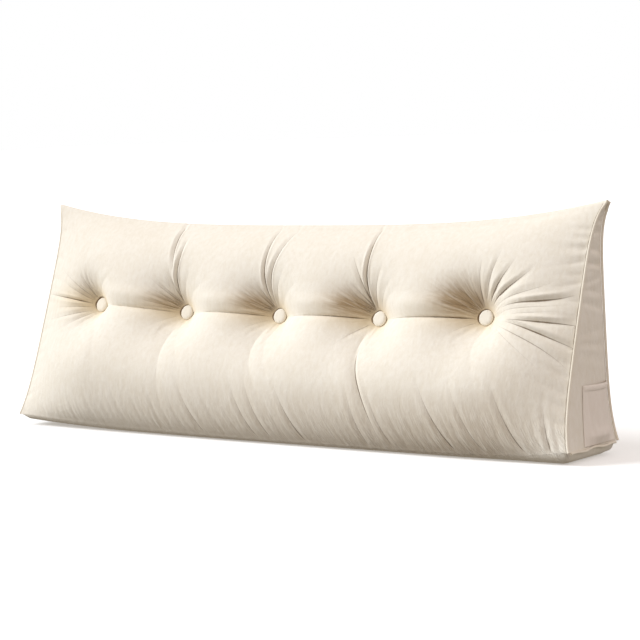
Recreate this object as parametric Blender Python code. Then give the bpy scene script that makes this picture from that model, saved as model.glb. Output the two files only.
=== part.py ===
"""Wedge backrest pillow with five covered buttons and a side pocket.

The pillow is a long triangular prism of filled cloth: a sloping front panel, an upright
back panel, a base panel and a three-cornered panel at each end.  The buttons pull the
front in at one level, so it stands in an upper and a lower roll with folds running up and
down from the buttons.  Narrow piping covers the seams round both end panels, and a patch
pocket is sewn on the right end panel, open at its top.

Units are metres.  +X runs along the pillow towards the pocket, the front faces -Y and +Z
is up.  The origin is the middle of the base where it rests on the floor.
"""
import math

import bmesh
import bpy
from mathutils import Vector

# Seam to seam sizes of the cover
LENGTH = 1.50        # between the corners of the two end panels
HEIGHT = 0.50        # at the ears
DEPTH = 0.18         # along the floor
TOP_FOLD = 0.012     # depth of the blunt upper edge between front and back
SEAM_LIFT = 0.026    # the base seams stand this high off the floor
SEAM_DROOP = 0.018   # the front one hangs this far lower between its corners
DROOP_POWER = 6
LEFT_DROOP_POWER = 2.2    # towards the plain end it rises again sooner
HALF = LENGTH / 2

# How the filling pulls the cover out of its flat cut
TOP_SAG = 0.056      # the upper seam hangs this far below the ears at mid length
TOP_CROWN = 0.35     # rise of the blunt upper edge, as a share of its depth
SAG_POWER = 3.2
END_DRAW = 0.027     # the end seams are drawn in this far between their corners
DRAW_LOW = 0.65      # share of that draw near the floor, where the end is fuller
EAR_POWER = 12       # how sharply the draw gives way to the ears
FOOT_POWER = 10      # and to the lower corners
DRAW_REACH = 6       # power that keeps the draw near the ends
FRONT_CROWN = 0.060
LOW_CROWN = 0.016    # the filling has settled, so the front is this much fuller low down
LOW_LEVEL = 0.25     # share of the front's height at which it is fullest
LOW_SPREAD = 0.20
BACK_CROWN = 0.014
END_CROWN = 0.010
BASE_ROLL = 0.035    # width of the rounded strip between the base seams and the flat
LEFT_TILT = 0.5      # that strip is twice as wide at the plain end
LEFT_LIFT = 0.012    # whose underside stands off the floor by this
LEFT_LIFT_FROM = -0.42
END_ROLL = 0.24      # distance from an end seam at which the front reaches its full crown

# Buttons, in one row on the front panel
BUTTON_COUNT = 5
BUTTON_PITCH = 0.268
ROW_MIDDLE = -0.0245 # the row sits a little nearer the plain end
ROW_LEVEL = 0.5725   # share of the way up the front panel
BUTTON_RADIUS = 0.0165
BUTTON_THICK = 0.009
SEAT_RADIUS = 0.026  # flat of cloth that each button presses on
SEAT_LEVEL = -0.008  # height of that flat above the plane through the front seams
TUFT_REACH = (0.040, 0.056, 0.060, 0.062, 0.062)   # the cloth climbs out of each tuft over this distance
TUFT_POWER = 1.35
GAP = 0.0003         # pieces that touch are kept this far apart

# The valley that joins the buttons
ROW_DEPTH = 0.016
ROW_WIDTH = 0.034
ROW_FADE = 0.05      # it dies away this far past the first and the last button
ROW_DROOP = 0.012    # it hangs below the buttons by this share of the panel's height

# Folds that run from a button to the panel's edge
FOLD_COLUMNS = ("button", "upwards", "bow", "drift", "depth", "width")
FOLDS = (
    (0, True, 0.010, 0.030, 0.004, 0.030),
    (1, True, -0.011, -0.037, 0.011, 0.018),
    (2, True, -0.024, -0.008, 0.011, 0.024),
    (3, True, -0.018, -0.034, 0.011, 0.018),
    (4, True, -0.011, -0.012, 0.005, 0.030),
    (0, False, 0.030, 0.060, 0.003, 0.030),
    (1, False, -0.006, 0.010, 0.007, 0.024),
    (2, False, -0.021, 0.073, 0.007, 0.024),
    (3, False, 0.002, 0.054, 0.007, 0.024),
    (4, False, 0.011, 0.059, 0.004, 0.030),
)

# Piping round the end panels
PIPING_RADIUS = 0.0022
PIPING_OFFSET = 0.0030   # from the seam line to the middle of the piping
PIPING_STEPS = 15
CORNER_SETBACK = 0.007   # the base piping stops this far short of the corners

# Patch pocket on the right end panel
POCKET_FRONT_LOW = -0.030     # y of its front edge at the bottom
POCKET_FRONT_HIGH = -0.010    # and at the mouth
POCKET_BACK_MARGIN = 0.007
POCKET_BOTTOM = SEAM_LIFT + 0.006
POCKET_MOUTH = 0.147
POCKET_OPEN = 0.015      # how far the mouth stands off the panel
POCKET_CLOTH = 0.002
POCKET_SEAT = 0.0010     # its sewn edges lie this far off the panel's curve

FRONT_NORMAL = Vector((0, SEAM_LIFT - HEIGHT, DEPTH - TOP_FOLD)).normalized()
BUTTON_X = [ROW_MIDDLE + (i - (BUTTON_COUNT - 1) / 2) * BUTTON_PITCH for i in range(BUTTON_COUNT)]


def clear_scene():
    for obj in list(bpy.data.objects):
        bpy.data.objects.remove(obj, do_unlink=True)


def mix(low, high, share):
    return low + (high - low) * share


def fold_rows(upwards):
    rows = [dict(zip(FOLD_COLUMNS, row)) for row in FOLDS]
    return [row for row in rows if row["upwards"] == upwards]


def top_height(x):
    """Height of the upper edge: high at the ears, hanging between them."""
    return HEIGHT - TOP_SAG * (1 - abs(x / HALF) ** SAG_POWER)


def end_draw(up):
    """How far an end seam is drawn in, at this share of its height."""
    up = min(max(up, 0), 1)
    return END_DRAW * mix(DRAW_LOW, 1, up) * (1 - up ** EAR_POWER) * (1 - (1 - up) ** FOOT_POWER)


def front_plane_y(z):
    """Y of the plane through the front panel's seams, at this height."""
    return mix(-DEPTH / 2, DEPTH / 2 - TOP_FOLD, (z - SEAM_LIFT) / (HEIGHT - SEAM_LIFT))


def seam_droop(x):
    """How far the front base seam hangs below its corners."""
    power = LEFT_DROOP_POWER if x < 0 else DROOP_POWER
    return SEAM_DROOP * (1 - abs(x / HALF) ** power)


def left_lift(x):
    """Height of the base panel's underside above the floor, near the plain end."""
    share = max(0.0, (LEFT_LIFT_FROM - x) / (HALF + LEFT_LIFT_FROM))
    return LEFT_LIFT * share ** 1.5


def flat_point(x, back, up):
    """A point of the wedge before it is filled; back and up run from 0 to 1."""
    z = mix(SEAM_LIFT, top_height(x), up) - seam_droop(x) * (1 - back) * (1 - up) ** 6
    y_front = front_plane_y(z)
    drawn = end_draw(up) * abs(x / HALF) ** DRAW_REACH
    return Vector((math.copysign(abs(x) - drawn, x), mix(y_front, DEPTH / 2, back), z))


def arch(share, power, root):
    """A flat-topped arch over 0 to 1, zero at both ends."""
    return max(0.0, 1 - abs(2 * share - 1) ** power) ** root


def end_roll(x):
    """Rise of the front panel from an end seam to its full crown."""
    share = min((HALF - abs(x)) / END_ROLL, 1)
    return share * (1.4 - 0.4 * share ** 2)


def fold_path(row, up):
    """Share of the way from the button to the edge, and the fold's shift along X there."""
    seat = SEAT_RADIUS / (HEIGHT - SEAM_LIFT)
    panel = 1 - ROW_LEVEL if row["upwards"] else ROW_LEVEL
    way = (abs(up - ROW_LEVEL) - seat) / (panel - seat)
    way = min(max(way, 0), 1)
    return way, row["bow"] * math.sin(math.pi * way) + row["drift"] * way ** 2


def front_lean(x, up):
    """Shift along X that lets the panel's columns follow the folds."""
    shift = 0.0
    for row in fold_rows(up > ROW_LEVEL):
        near = max(0.0, 1 - abs(x - BUTTON_X[row["button"]]) / (BUTTON_PITCH / 2))
        shift += near * fold_path(row, up)[1]
    return shift


def row_level(x):
    """Share of the height at which the valley runs: at the buttons, drooping between."""
    if not BUTTON_X[0] < x < BUTTON_X[-1]:
        return ROW_LEVEL
    between = (x - BUTTON_X[0]) / BUTTON_PITCH % 1
    return ROW_LEVEL - ROW_DROOP * math.sin(math.pi * between)


def front_crown(x, up):
    """Height of the filled front above the plane through its seams."""
    low = LOW_CROWN * math.exp(-((up - LOW_LEVEL) / LOW_SPREAD) ** 2)
    rise = (FRONT_CROWN + low) * arch(up ** 0.85, 2.6, 0.75) * end_roll(x)
    slope_length = HEIGHT - SEAM_LIFT
    past_row = max(0.0, BUTTON_X[0] - x, x - BUTTON_X[-1])
    valley = math.exp(-abs(up - row_level(x)) * slope_length / ROW_WIDTH)
    rise -= ROW_DEPTH * valley * math.exp(-past_row / ROW_FADE)
    for row in fold_rows(up > ROW_LEVEL):
        way = fold_path(row, up)[0]
        aside = abs(x - BUTTON_X[row["button"]])
        rise -= row["depth"] * math.exp(-aside / row["width"]) * arch(way, 4, 1)
    for button_x, reach in zip(BUTTON_X, TUFT_REACH):
        away = math.hypot(x - button_x, (up - ROW_LEVEL) * slope_length)
        pull = math.exp(-(max(0.0, away - SEAT_RADIUS) / reach) ** TUFT_POWER)
        rise = mix(rise, SEAT_LEVEL, pull)
    return rise * arch(up, 40, 1) * min(1, (HALF - abs(x)) / BASE_ROLL * 8)


def back_crown(x, up):
    return BACK_CROWN * arch(up, 2, 0.7) * arch((x + HALF) / LENGTH, 6, 0.7)


def base_lift(x, back):
    """Height of the base panel: flat on the floor, rolling up to its seams."""
    from_end = (HALF - abs(x)) * (LEFT_TILT if x < 0 else 1)
    inside = min(back * DEPTH, (1 - back) * DEPTH, from_end)
    share = max(0.0, 1 - inside / BASE_ROLL)
    rim = SEAM_LIFT - seam_droop(x) * (1 - back)
    return mix(left_lift(x), rim, 1 - math.sqrt(1 - share ** 2))


def end_crown(y, z):
    """Bulge of an end panel beyond its seams, at a place on it."""
    up = min(max((z - SEAM_LIFT) / (HEIGHT - SEAM_LIFT), 0), 1)
    y_front = front_plane_y(z)
    back = min(max((y - y_front) / (DEPTH / 2 - y_front), 0), 1)
    return END_CROWN * arch(back, 2, 1) * arch(up, 6, 1) * (1 - up)


def end_surface(y, z):
    """X of the right end panel's face."""
    up = (z - SEAM_LIFT) / (HEIGHT - SEAM_LIFT)
    return HALF - end_draw(up) + end_crown(y, z)


def filled_point(x, back, up):
    """The cover's place at one point of the block from which it is shaped."""
    spot = flat_point(x, back, up)
    if back == 0 and 0 < up < 1:
        spot.x += front_lean(x, up) * end_roll(x)
        spot += FRONT_NORMAL * front_crown(x, up)
    if back == 1 and 0 < up < 1:
        spot.y += back_crown(x, up)
    if up == 0:
        spot.z = base_lift(x, back)
    if up == 1:
        spot.z += TOP_CROWN * (DEPTH / 2 - front_plane_y(top_height(x))) * arch(back, 2, 1)
    if abs(x) == HALF:
        spot.x += math.copysign(end_crown(spot.y, spot.z), x)
    return spot


def mirrored(offsets):
    return sorted({-value for value in offsets} | set(offsets))


def front_columns():
    """Stations along X: close together at the buttons and at the end seams."""
    from_button = mirrored((0.0, 0.009, 0.020, 0.034, 0.054, 0.080, 0.107, 0.134))
    from_end = (0.004, 0.010, 0.022, 0.040, 0.065, 0.095)
    stations = {round(x + offset, 4) for x in BUTTON_X for offset in from_button}
    inner = {x for x in stations if abs(x) < HALF - max(from_end) - 0.01}
    inner |= {side * (HALF - offset) for side in (-1, 1) for offset in from_end}
    return sorted(inner)


def front_rows():
    """Stations up the front: close together at the row of buttons and at the edges."""
    from_row = mirrored((0.0, 0.018, 0.040, 0.070, 0.115, 0.170, 0.230))
    edges = (0.010, 0.030, 0.060, 0.105, 0.165, 0.235, 0.285, 0.850, 0.910, 0.950, 0.980)
    return sorted({round(ROW_LEVEL + offset, 4) for offset in from_row} | set(edges))


COLUMNS = front_columns()
ROWS = front_rows()
DEPTH_STATIONS = (0.03, 0.09, 0.19, 0.35, 0.65, 0.81, 0.91, 0.97)


def on_front(face):
    return all(vert.co.y < 1e-6 for vert in face.verts)


def on_front_or_end(face):
    return on_front(face) or all(abs(vert.co.x) > HALF - 1e-6 for vert in face.verts)


def slice_block(bm, stations, axis, chosen=None):
    """Cut the block's faces, or the chosen ones, across one axis at each station."""
    normal = Vector(tuple(1.0 if i == axis else 0.0 for i in range(3)))
    for station in stations:
        faces = [face for face in bm.faces if chosen is None or chosen(face)]
        edges = {edge for face in faces for edge in face.edges}
        verts = {vert for face in faces for vert in face.verts}
        bmesh.ops.bisect_plane(
            bm, geom=faces + list(edges) + list(verts), plane_co=normal * station, plane_no=normal, dist=1e-7)


def shape_cushion():
    """Slice a block into the cover's stations and fill it."""
    bm = bmesh.new()
    bmesh.ops.create_cube(bm, size=1)
    bmesh.ops.translate(bm, vec=(0, 0.5, 0.5), verts=bm.verts)
    bmesh.ops.scale(bm, vec=(LENGTH, 1, 1), verts=bm.verts)
    slice_block(bm, COLUMNS[::2], axis=0)
    slice_block(bm, COLUMNS[1::2], axis=0, chosen=on_front)
    slice_block(bm, ROWS[::2], axis=2)
    slice_block(bm, ROWS[1::2], axis=2, chosen=on_front_or_end)
    slice_block(bm, DEPTH_STATIONS, axis=1)
    for vert in bm.verts:
        x = math.copysign(HALF, vert.co.x) if abs(vert.co.x) > HALF - 1e-6 else vert.co.x
        back = round(vert.co.y, 6)
        up = round(vert.co.z, 6)
        vert.co = filled_point(x, back, up)
    bmesh.ops.triangulate(bm, faces=bm.faces)
    return bm


def add_object(name, bm, material):
    mesh = bpy.data.meshes.new(name)
    bm.to_mesh(mesh)
    bm.free()
    obj = bpy.data.objects.new(name, mesh)
    bpy.context.scene.collection.objects.link(obj)
    mesh.materials.append(material)
    return obj


def cloth_material(name, colour, roughness):
    material = bpy.data.materials.new(name)
    material.use_nodes = True
    shader = material.node_tree.nodes["Principled BSDF"]
    shader.inputs["Base Color"].default_value = (*colour, 1)
    shader.inputs["Roughness"].default_value = roughness
    shader.inputs["Metallic"].default_value = 0
    return material


def make_cushion():
    cushion = add_object("cushion", shape_cushion(), cloth_material("cover_velvet", (0.86, 0.80, 0.70), 0.85))
    cushion.data.shade_smooth()
    cushion.data.set_sharp_from_angle(angle=math.radians(60))


def button_profile():
    """Half section of a covered button: flat back, rolled rim, shallow dome."""
    rim = BUTTON_THICK * 0.42
    points = [Vector((0, 0, 0)), Vector((BUTTON_RADIUS - rim, 0, 0))]
    for step in range(1, 5):
        turn = math.pi * step / 5 - math.pi / 2
        points.append(Vector((BUTTON_RADIUS - rim + rim * math.cos(turn), 0, rim + rim * math.sin(turn))))
    points.append(Vector((BUTTON_RADIUS * 0.55, 0, BUTTON_THICK * 0.95)))
    points.append(Vector((0, 0, BUTTON_THICK)))
    return points


def make_button(number, x, material):
    bm = bmesh.new()
    verts = [bm.verts.new(point) for point in button_profile()]
    edges = [bm.edges.new(pair) for pair in zip(verts, verts[1:])]
    bmesh.ops.spin(
        bm, geom=verts + edges, cent=(0, 0, 0), axis=(0, 0, 1), angle=2 * math.pi, steps=16, use_merge=True)
    bmesh.ops.remove_doubles(bm, verts=bm.verts, dist=1e-5)
    bmesh.ops.recalc_face_normals(bm, faces=bm.faces)
    button = add_object(f"button_{number}", bm, material)
    button.data.shade_smooth()
    button.rotation_mode = "QUATERNION"
    button.rotation_quaternion = FRONT_NORMAL.to_track_quat("Z", "Y")
    seat = filled_point(x, 0, ROW_LEVEL)
    button.location = seat + FRONT_NORMAL * GAP


def make_buttons():
    material = cloth_material("button_velvet", (0.84, 0.77, 0.66), 0.8)
    for index, x in enumerate(BUTTON_X):
        make_button(index + 1, x, material)


def piping_path(side, seam):
    """Points along one seam of an end panel, moved out to where the piping lies."""
    outward = Vector((side, 0, 0))
    points = []
    for step in range(PIPING_STEPS + 1):
        share = step / PIPING_STEPS
        if seam == "base":
            setback = CORNER_SETBACK / DEPTH
            spot = filled_point(side * HALF, mix(setback, 1 - setback, share), 0)
            away = outward + Vector((0, 0, -1))
        elif seam == "front":
            spot = filled_point(side * HALF, 0, share)
            away = outward + FRONT_NORMAL
        else:
            spot = filled_point(side * HALF, 1, share)
            away = outward + Vector((0, 1, 0))
        points.append(spot + away.normalized() * PIPING_OFFSET)
    return points


def make_piping(side, seam, material):
    name = f"piping_{'right' if side > 0 else 'left'}_{seam}"
    curve = bpy.data.curves.new(name, "CURVE")
    curve.dimensions = "3D"
    curve.bevel_depth = PIPING_RADIUS
    curve.bevel_resolution = 1
    curve.use_fill_caps = True
    points = piping_path(side, seam)
    spline = curve.splines.new("POLY")
    spline.points.add(len(points) - 1)
    for place, point in zip(spline.points, points):
        place.co = (*point, 1)
    curve.materials.append(material)
    bpy.context.scene.collection.objects.link(bpy.data.objects.new(name, curve))


def make_all_piping():
    material = cloth_material("piping_velvet", (0.85, 0.78, 0.67), 0.8)
    for side in (-1, 1):
        for seam in ("front", "base", "back"):
            make_piping(side, seam, material)


def pocket_bulge(across, up):
    """Distance of the pocket's cloth from the panel: closed at three edges, open above."""
    rise = min(1.0, up / 0.15) ** 0.5 * mix(0.6, 1.0, up)
    return POCKET_OPEN * math.sin(math.pi * across) ** 0.6 * rise


def make_pocket():
    """A sheet that stands off the end panel; Solidify gives it its thickness."""
    bm = bmesh.new()
    bmesh.ops.create_grid(bm, x_segments=14, y_segments=8, size=0.5)
    back_edge = DEPTH / 2 - POCKET_BACK_MARGIN
    for vert in bm.verts:
        across = vert.co.x + 0.5
        up = vert.co.y + 0.5
        y = mix(mix(POCKET_FRONT_LOW, POCKET_FRONT_HIGH, up), back_edge, across)
        z = mix(POCKET_BOTTOM, POCKET_MOUTH, up)
        stand = POCKET_SEAT + pocket_bulge(min(max(across, 0), 1), min(max(up, 0), 1))
        vert.co = (end_surface(y, z) + stand, y, z)
    pocket = add_object("pocket", bm, cloth_material("pocket_velvet", (0.82, 0.75, 0.66), 0.85))
    thickness = pocket.modifiers.new("cloth", "SOLIDIFY")
    thickness.thickness = POCKET_CLOTH
    thickness.offset = 1
    pocket.data.shade_smooth()
    pocket.data.set_sharp_from_angle(angle=math.radians(60))


def main():
    clear_scene()
    make_cushion()
    make_buttons()
    make_all_piping()
    make_pocket()


main()
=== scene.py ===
# %% [markdown]
# # A buttoned wedge pillow in ivory velvet
#
# The real pillow is a long wedge of filled cloth. Five covered buttons pull its sloping front
# in along one row, and everything that catches the eye follows from that pull: the two soft
# rolls above and below the row, the pits round the buttons, and the creases that fan out of them.
#
# This lesson loads the measured solids as a fixed frame, then dresses each one with a finer
# piece that keeps its size. All lengths are metres unless a name ends in MM.

# %% Load the measured solids
import math
import bmesh
import bpy
import numpy as np
from mathutils import Matrix, Vector


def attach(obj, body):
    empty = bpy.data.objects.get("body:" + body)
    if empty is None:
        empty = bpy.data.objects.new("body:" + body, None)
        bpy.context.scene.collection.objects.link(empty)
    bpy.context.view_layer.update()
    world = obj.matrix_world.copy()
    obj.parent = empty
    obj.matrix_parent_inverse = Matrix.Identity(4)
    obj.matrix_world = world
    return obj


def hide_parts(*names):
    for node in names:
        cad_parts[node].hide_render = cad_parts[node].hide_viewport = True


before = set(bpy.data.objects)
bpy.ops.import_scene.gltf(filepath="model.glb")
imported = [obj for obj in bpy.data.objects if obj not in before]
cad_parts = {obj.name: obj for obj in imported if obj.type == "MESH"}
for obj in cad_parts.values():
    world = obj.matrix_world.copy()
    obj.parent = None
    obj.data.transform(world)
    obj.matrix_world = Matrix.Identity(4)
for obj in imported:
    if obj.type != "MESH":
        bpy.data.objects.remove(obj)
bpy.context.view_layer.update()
print("solids:", sorted(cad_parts))


def link(name, data):
    """Make an object of a mesh, curve, lamp or camera, and put it in the scene."""
    made = bpy.data.objects.new(name, data)
    bpy.context.scene.collection.objects.link(made)
    return made


def to_mesh(bm, name):
    mesh = bpy.data.meshes.new(name)
    bm.to_mesh(mesh)
    bm.free()
    return mesh


# %% [markdown]
# ## The camera
#
# A camera can be aimed by eye, or worked out from known points. Here the corners of the pillow
# and its five buttons gave one long lens, a little to the right and slightly above, so the
# right end panel shows as a narrow strip. The camera comes first, because every later choice
# is judged through it.

# %% Camera
FOCAL_PIXELS = 2266
IMAGE_PIXELS = 640
SENSOR = 36
CAMERA_PLACE = Vector((3.072, -3.752, 0.721))
YAW, PITCH, ROLL = (math.radians(angle) for angle in (-38.54, -5.51, -2.50))


def add_camera():
    data = bpy.data.cameras.new("camera")
    data.sensor_width = SENSOR
    data.lens = FOCAL_PIXELS * SENSOR / IMAGE_PIXELS
    camera = link("camera", data)
    ahead = math.cos(PITCH)
    forward = Vector((math.sin(YAW) * ahead, math.cos(YAW) * ahead, math.sin(PITCH)))
    level = Vector((math.cos(YAW), -math.sin(YAW), 0))
    upright = level.cross(forward)
    right = math.cos(ROLL) * level + math.sin(ROLL) * upright
    above = math.cos(ROLL) * upright - math.sin(ROLL) * level
    turn = Matrix((right, above, -forward)).transposed().to_4x4()
    camera.matrix_world = Matrix.Translation(CAMERA_PLACE) @ turn
    bpy.context.scene.camera = camera
    return camera


camera = add_camera()
print("lens:", round(camera.data.lens, 1), "mm")

# %% [markdown]
# ## Shader maths in plain Python
#
# Procedural materials need arithmetic on colours and distances. Wiring Math nodes by hand hides
# the formula, so one small class wraps a socket and lets an expression such as `1 - mask * 2`
# add its own nodes. Every other node comes from one method, with its settings first and the
# values or links of its sockets after them; noise, colour mixing and splitting a vector are used
# so often that they have short names.


# %% Shader helper
class Value:
    """A socket that takes part in arithmetic; each operation adds a Math node."""

    def __init__(self, tree, socket):
        self.tree = tree
        self.socket = socket

    def node(self, kind, settings=(), output=0, **inputs):
        """Add a node, set it, feed its sockets, and wrap one of its outputs."""
        node = self.tree.nodes.new(kind)
        for name, value in dict(settings).items():
            if name == "stops":
                self.set_stops(node.color_ramp, value)
            else:
                setattr(node, name, value)
        for name, value in inputs.items():
            key = int(name[1:]) if name[0] == "i" and name[1:].isdigit() else name.replace("_", " ")
            self.feed(node.inputs[key], value)
        return Value(self.tree, node.outputs[output])

    def feed(self, socket, value):
        if isinstance(value, Value):
            self.tree.links.new(value.socket, socket)
        else:
            socket.default_value = value

    def set_stops(self, ramp, stops):
        while len(ramp.elements) < len(stops):
            ramp.elements.new(0.5)
        for element, (place, colour) in zip(ramp.elements, stops):
            element.position = place
            element.color = colour

    def maths(self, operation, *values):
        inputs = {f"i{index}": value for index, value in enumerate(values)}
        return self.node("ShaderNodeMath", {"operation": operation}, **inputs)

    def noise(self, place, **settings):
        return self.node("ShaderNodeTexNoise", Vector=place, **settings)

    def blend(self, share, first, second, kind="MIX"):
        """Mix two colours; each is a link, or plain red, green and blue."""
        first, second = ((*tone, 1) if isinstance(tone, tuple) else tone for tone in (first, second))
        settings = {"data_type": "RGBA", "blend_type": kind}
        return self.node("ShaderNodeMix", settings, output=2, i0=share, i6=first, i7=second)

    def part_of(self, vector, index):
        return self.node("ShaderNodeSeparateXYZ", output=index, Vector=vector)


SIGNS = {"add": "ADD", "sub": "SUBTRACT", "mul": "MULTIPLY", "truediv": "DIVIDE"}
for sign, operation in SIGNS.items():
    setattr(Value, f"__{sign}__", lambda a, b, operation=operation: a.maths(operation, a, b))
    setattr(Value, f"__r{sign}__", lambda a, b, operation=operation: a.maths(operation, b, a))


def new_material(name):
    """A material, its Principled shader, and a Value that starts its expressions."""
    material = bpy.data.materials.new(name)
    material.use_nodes = True
    tree = material.node_tree
    shader = tree.nodes["Principled BSDF"]
    return material, shader, Value(tree, shader.outputs[0])


# %% [markdown]
# ## Floor and light
#
# The photograph was taken in a bright studio with the light coming from the upper left, and its
# background is pure white. A single lamp would give black shade, and an even white sky would
# flatten every fold. The sky here is white low down, where the backdrop shows, and dimmer
# overhead and from below; one soft sun from the left models the rolls and leaves the right side
# of each one in shade. A reflector high on the right, which is only a brighter part of the sky,
# keeps that shade open. A white floor would throw so much light back that the underside of the
# pillow could not go dark, so the floor is left out of the bounced light.

# %% Floor and light
FLOOR_SIZE = 60
FLOOR_TONES = (0.93, 0.93, 0.93), (0.95, 0.95, 0.95)
FLOOR_GLOW = 0.28
SUN_TOWARDS = Vector((-0.80, -0.42, 0.56))
SUN_STRENGTH = 3.12
SUN_SOFTNESS = math.radians(34)
SUN_TINT = (0.965, 1.0, 1.04)
SKY_TONES = (      # share of the way from straight down to straight up, and the colour there
    (0.00, (0.20, 0.17, 0.13)),
    (0.45, (0.30, 0.26, 0.21)),
    (0.48, (1.00, 1.00, 1.00)),
    (0.54, (1.00, 1.00, 1.00)),
    (0.58, (0.50, 0.47, 0.43)),
    (1.00, (0.40, 0.37, 0.33)),
)
RIGHT_TONE = (1.36, 1.20, 1.20)     # the reflector
RIGHT_SHARE = 0.85
RIGHT_RISES = (0.10, 0.30)          # it starts and is full at these shares of straight up


def add_floor():
    bm = bmesh.new()
    bmesh.ops.create_grid(bm, x_segments=2, y_segments=2, size=FLOOR_SIZE / 2)
    floor = link("floor", to_mesh(bm, "floor"))
    floor.visible_diffuse = False
    material, shader, start = new_material("pale_floor")
    place = start.node("ShaderNodeTexCoord", output=3)
    cloud = start.noise(place, Scale=0.8, Detail=2)
    start.feed(shader.inputs["Base Color"], start.blend(cloud, *FLOOR_TONES))
    shader.inputs["Roughness"].default_value = 0.9
    shader.inputs["Emission Color"].default_value = (1, 1, 1, 1)
    shader.inputs["Emission Strength"].default_value = FLOOR_GLOW
    floor.data.materials.append(material)
    return floor


def add_sky():
    world = bpy.data.worlds.new("studio")
    world.use_nodes = True
    bpy.context.scene.world = world
    background = world.node_tree.nodes["Background"]
    start = Value(world.node_tree, background.outputs[0])
    direction = start.node("ShaderNodeTexCoord", output=0)
    height = start.part_of(direction, 2)
    stops = [(place, (*tone, 1)) for place, tone in SKY_TONES]
    band = start.node("ShaderNodeValToRGB", {"stops": stops}, Fac=height * 0.5 + 0.5)
    side = start.maths("MAXIMUM", start.part_of(direction, 0), 0)
    overhead = start.node("ShaderNodeMapRange", Value=height, i1=RIGHT_RISES[0], i2=RIGHT_RISES[1])
    lit = start.blend(side * overhead * RIGHT_SHARE, band, RIGHT_TONE)
    start.feed(background.inputs["Color"], lit)


def add_sun():
    lamp = bpy.data.lights.new("window_light", "SUN")
    lamp.energy = SUN_STRENGTH
    lamp.angle = SUN_SOFTNESS
    lamp.color = SUN_TINT
    sun = link("window_light", lamp)
    sun.rotation_mode = "QUATERNION"
    sun.rotation_quaternion = SUN_TOWARDS.to_track_quat("Z", "Y")


add_floor()
add_sky()
add_sun()
bpy.context.scene.view_settings.view_transform = "Standard"
print("sun elevation:", round(math.degrees(math.asin(SUN_TOWARDS.normalized().z)), 1), "degrees")

# %% [markdown]
# ## Velvet
#
# The cover is a short, dense pile. From a step away it has no weave: it looks matt and soft,
# slightly darker and warmer where the pile lies the other way, and paler along edges where it
# catches light. The finish has four scales of noise: broad clouds of nap, long brush strokes, a
# fine mottle, and the pile itself as a very small bump. On the cover, values kept on the mesh
# itself say where shade is painted into the colour, in the pits and low on the front, where
# light that bounces warmly from fold to fold is painted, and where creases run that are too fine
# for the mesh, with painted shade along their bottoms. What differs from piece to piece is an
# argument, so the four slots of the record stay four materials.


# %% Velvet material
# Painted shade: the cover's colour is multiplied towards this where its pits and the bottom of its
# front lie in shade
PIT_SHADE_TONE = (0.54, 0.44, 0.325)
# Painted shade: the colour of the crisp dark bottoms of creases and pleats
CREASE_SHADE_TONE = (0.28, 0.21, 0.15)
WARM_TONE = (0.95, 0.85, 0.66)  # light that has bounced from fold to fold deep in the row
CLOUD_TONE, MOTTLE_TONE, BRUSH_TONE = 1.6, 0.9, 2.4            # how much each noise shifts the tone
HAIR_RELIEF, MOTTLE_RELIEF, BRUSH_RELIEF = 0.05, 0.45, 0.8     # and how high it stands, in mm
ROUGH_LEAST, ROUGH_RANGE = 0.80, 0.16
LINE_WIDTH = 3.0                # mm from the bottom of the deepest crease to where its line ends
LINE_CONTRAST = 1.5
LINE_RELIEF = 1.2
STROKE_SCALE = (110, 110, 38)   # brush strokes run up and down
PLEAT_RELIEF = 8.0              # mm for the whole range of the noise
PLEAT_SHARP = 16.0
PLEAT_SHADE = 0.14
PIT_SHADE_MOST, PIT_SHADE_RAYS = 1.25, 3.5     # the painted shade in the pits is darkest in the pleats


def attribute(start, name, output=2):
    return start.node("ShaderNodeAttribute", {"attribute_name": name}, output=output)


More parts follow.
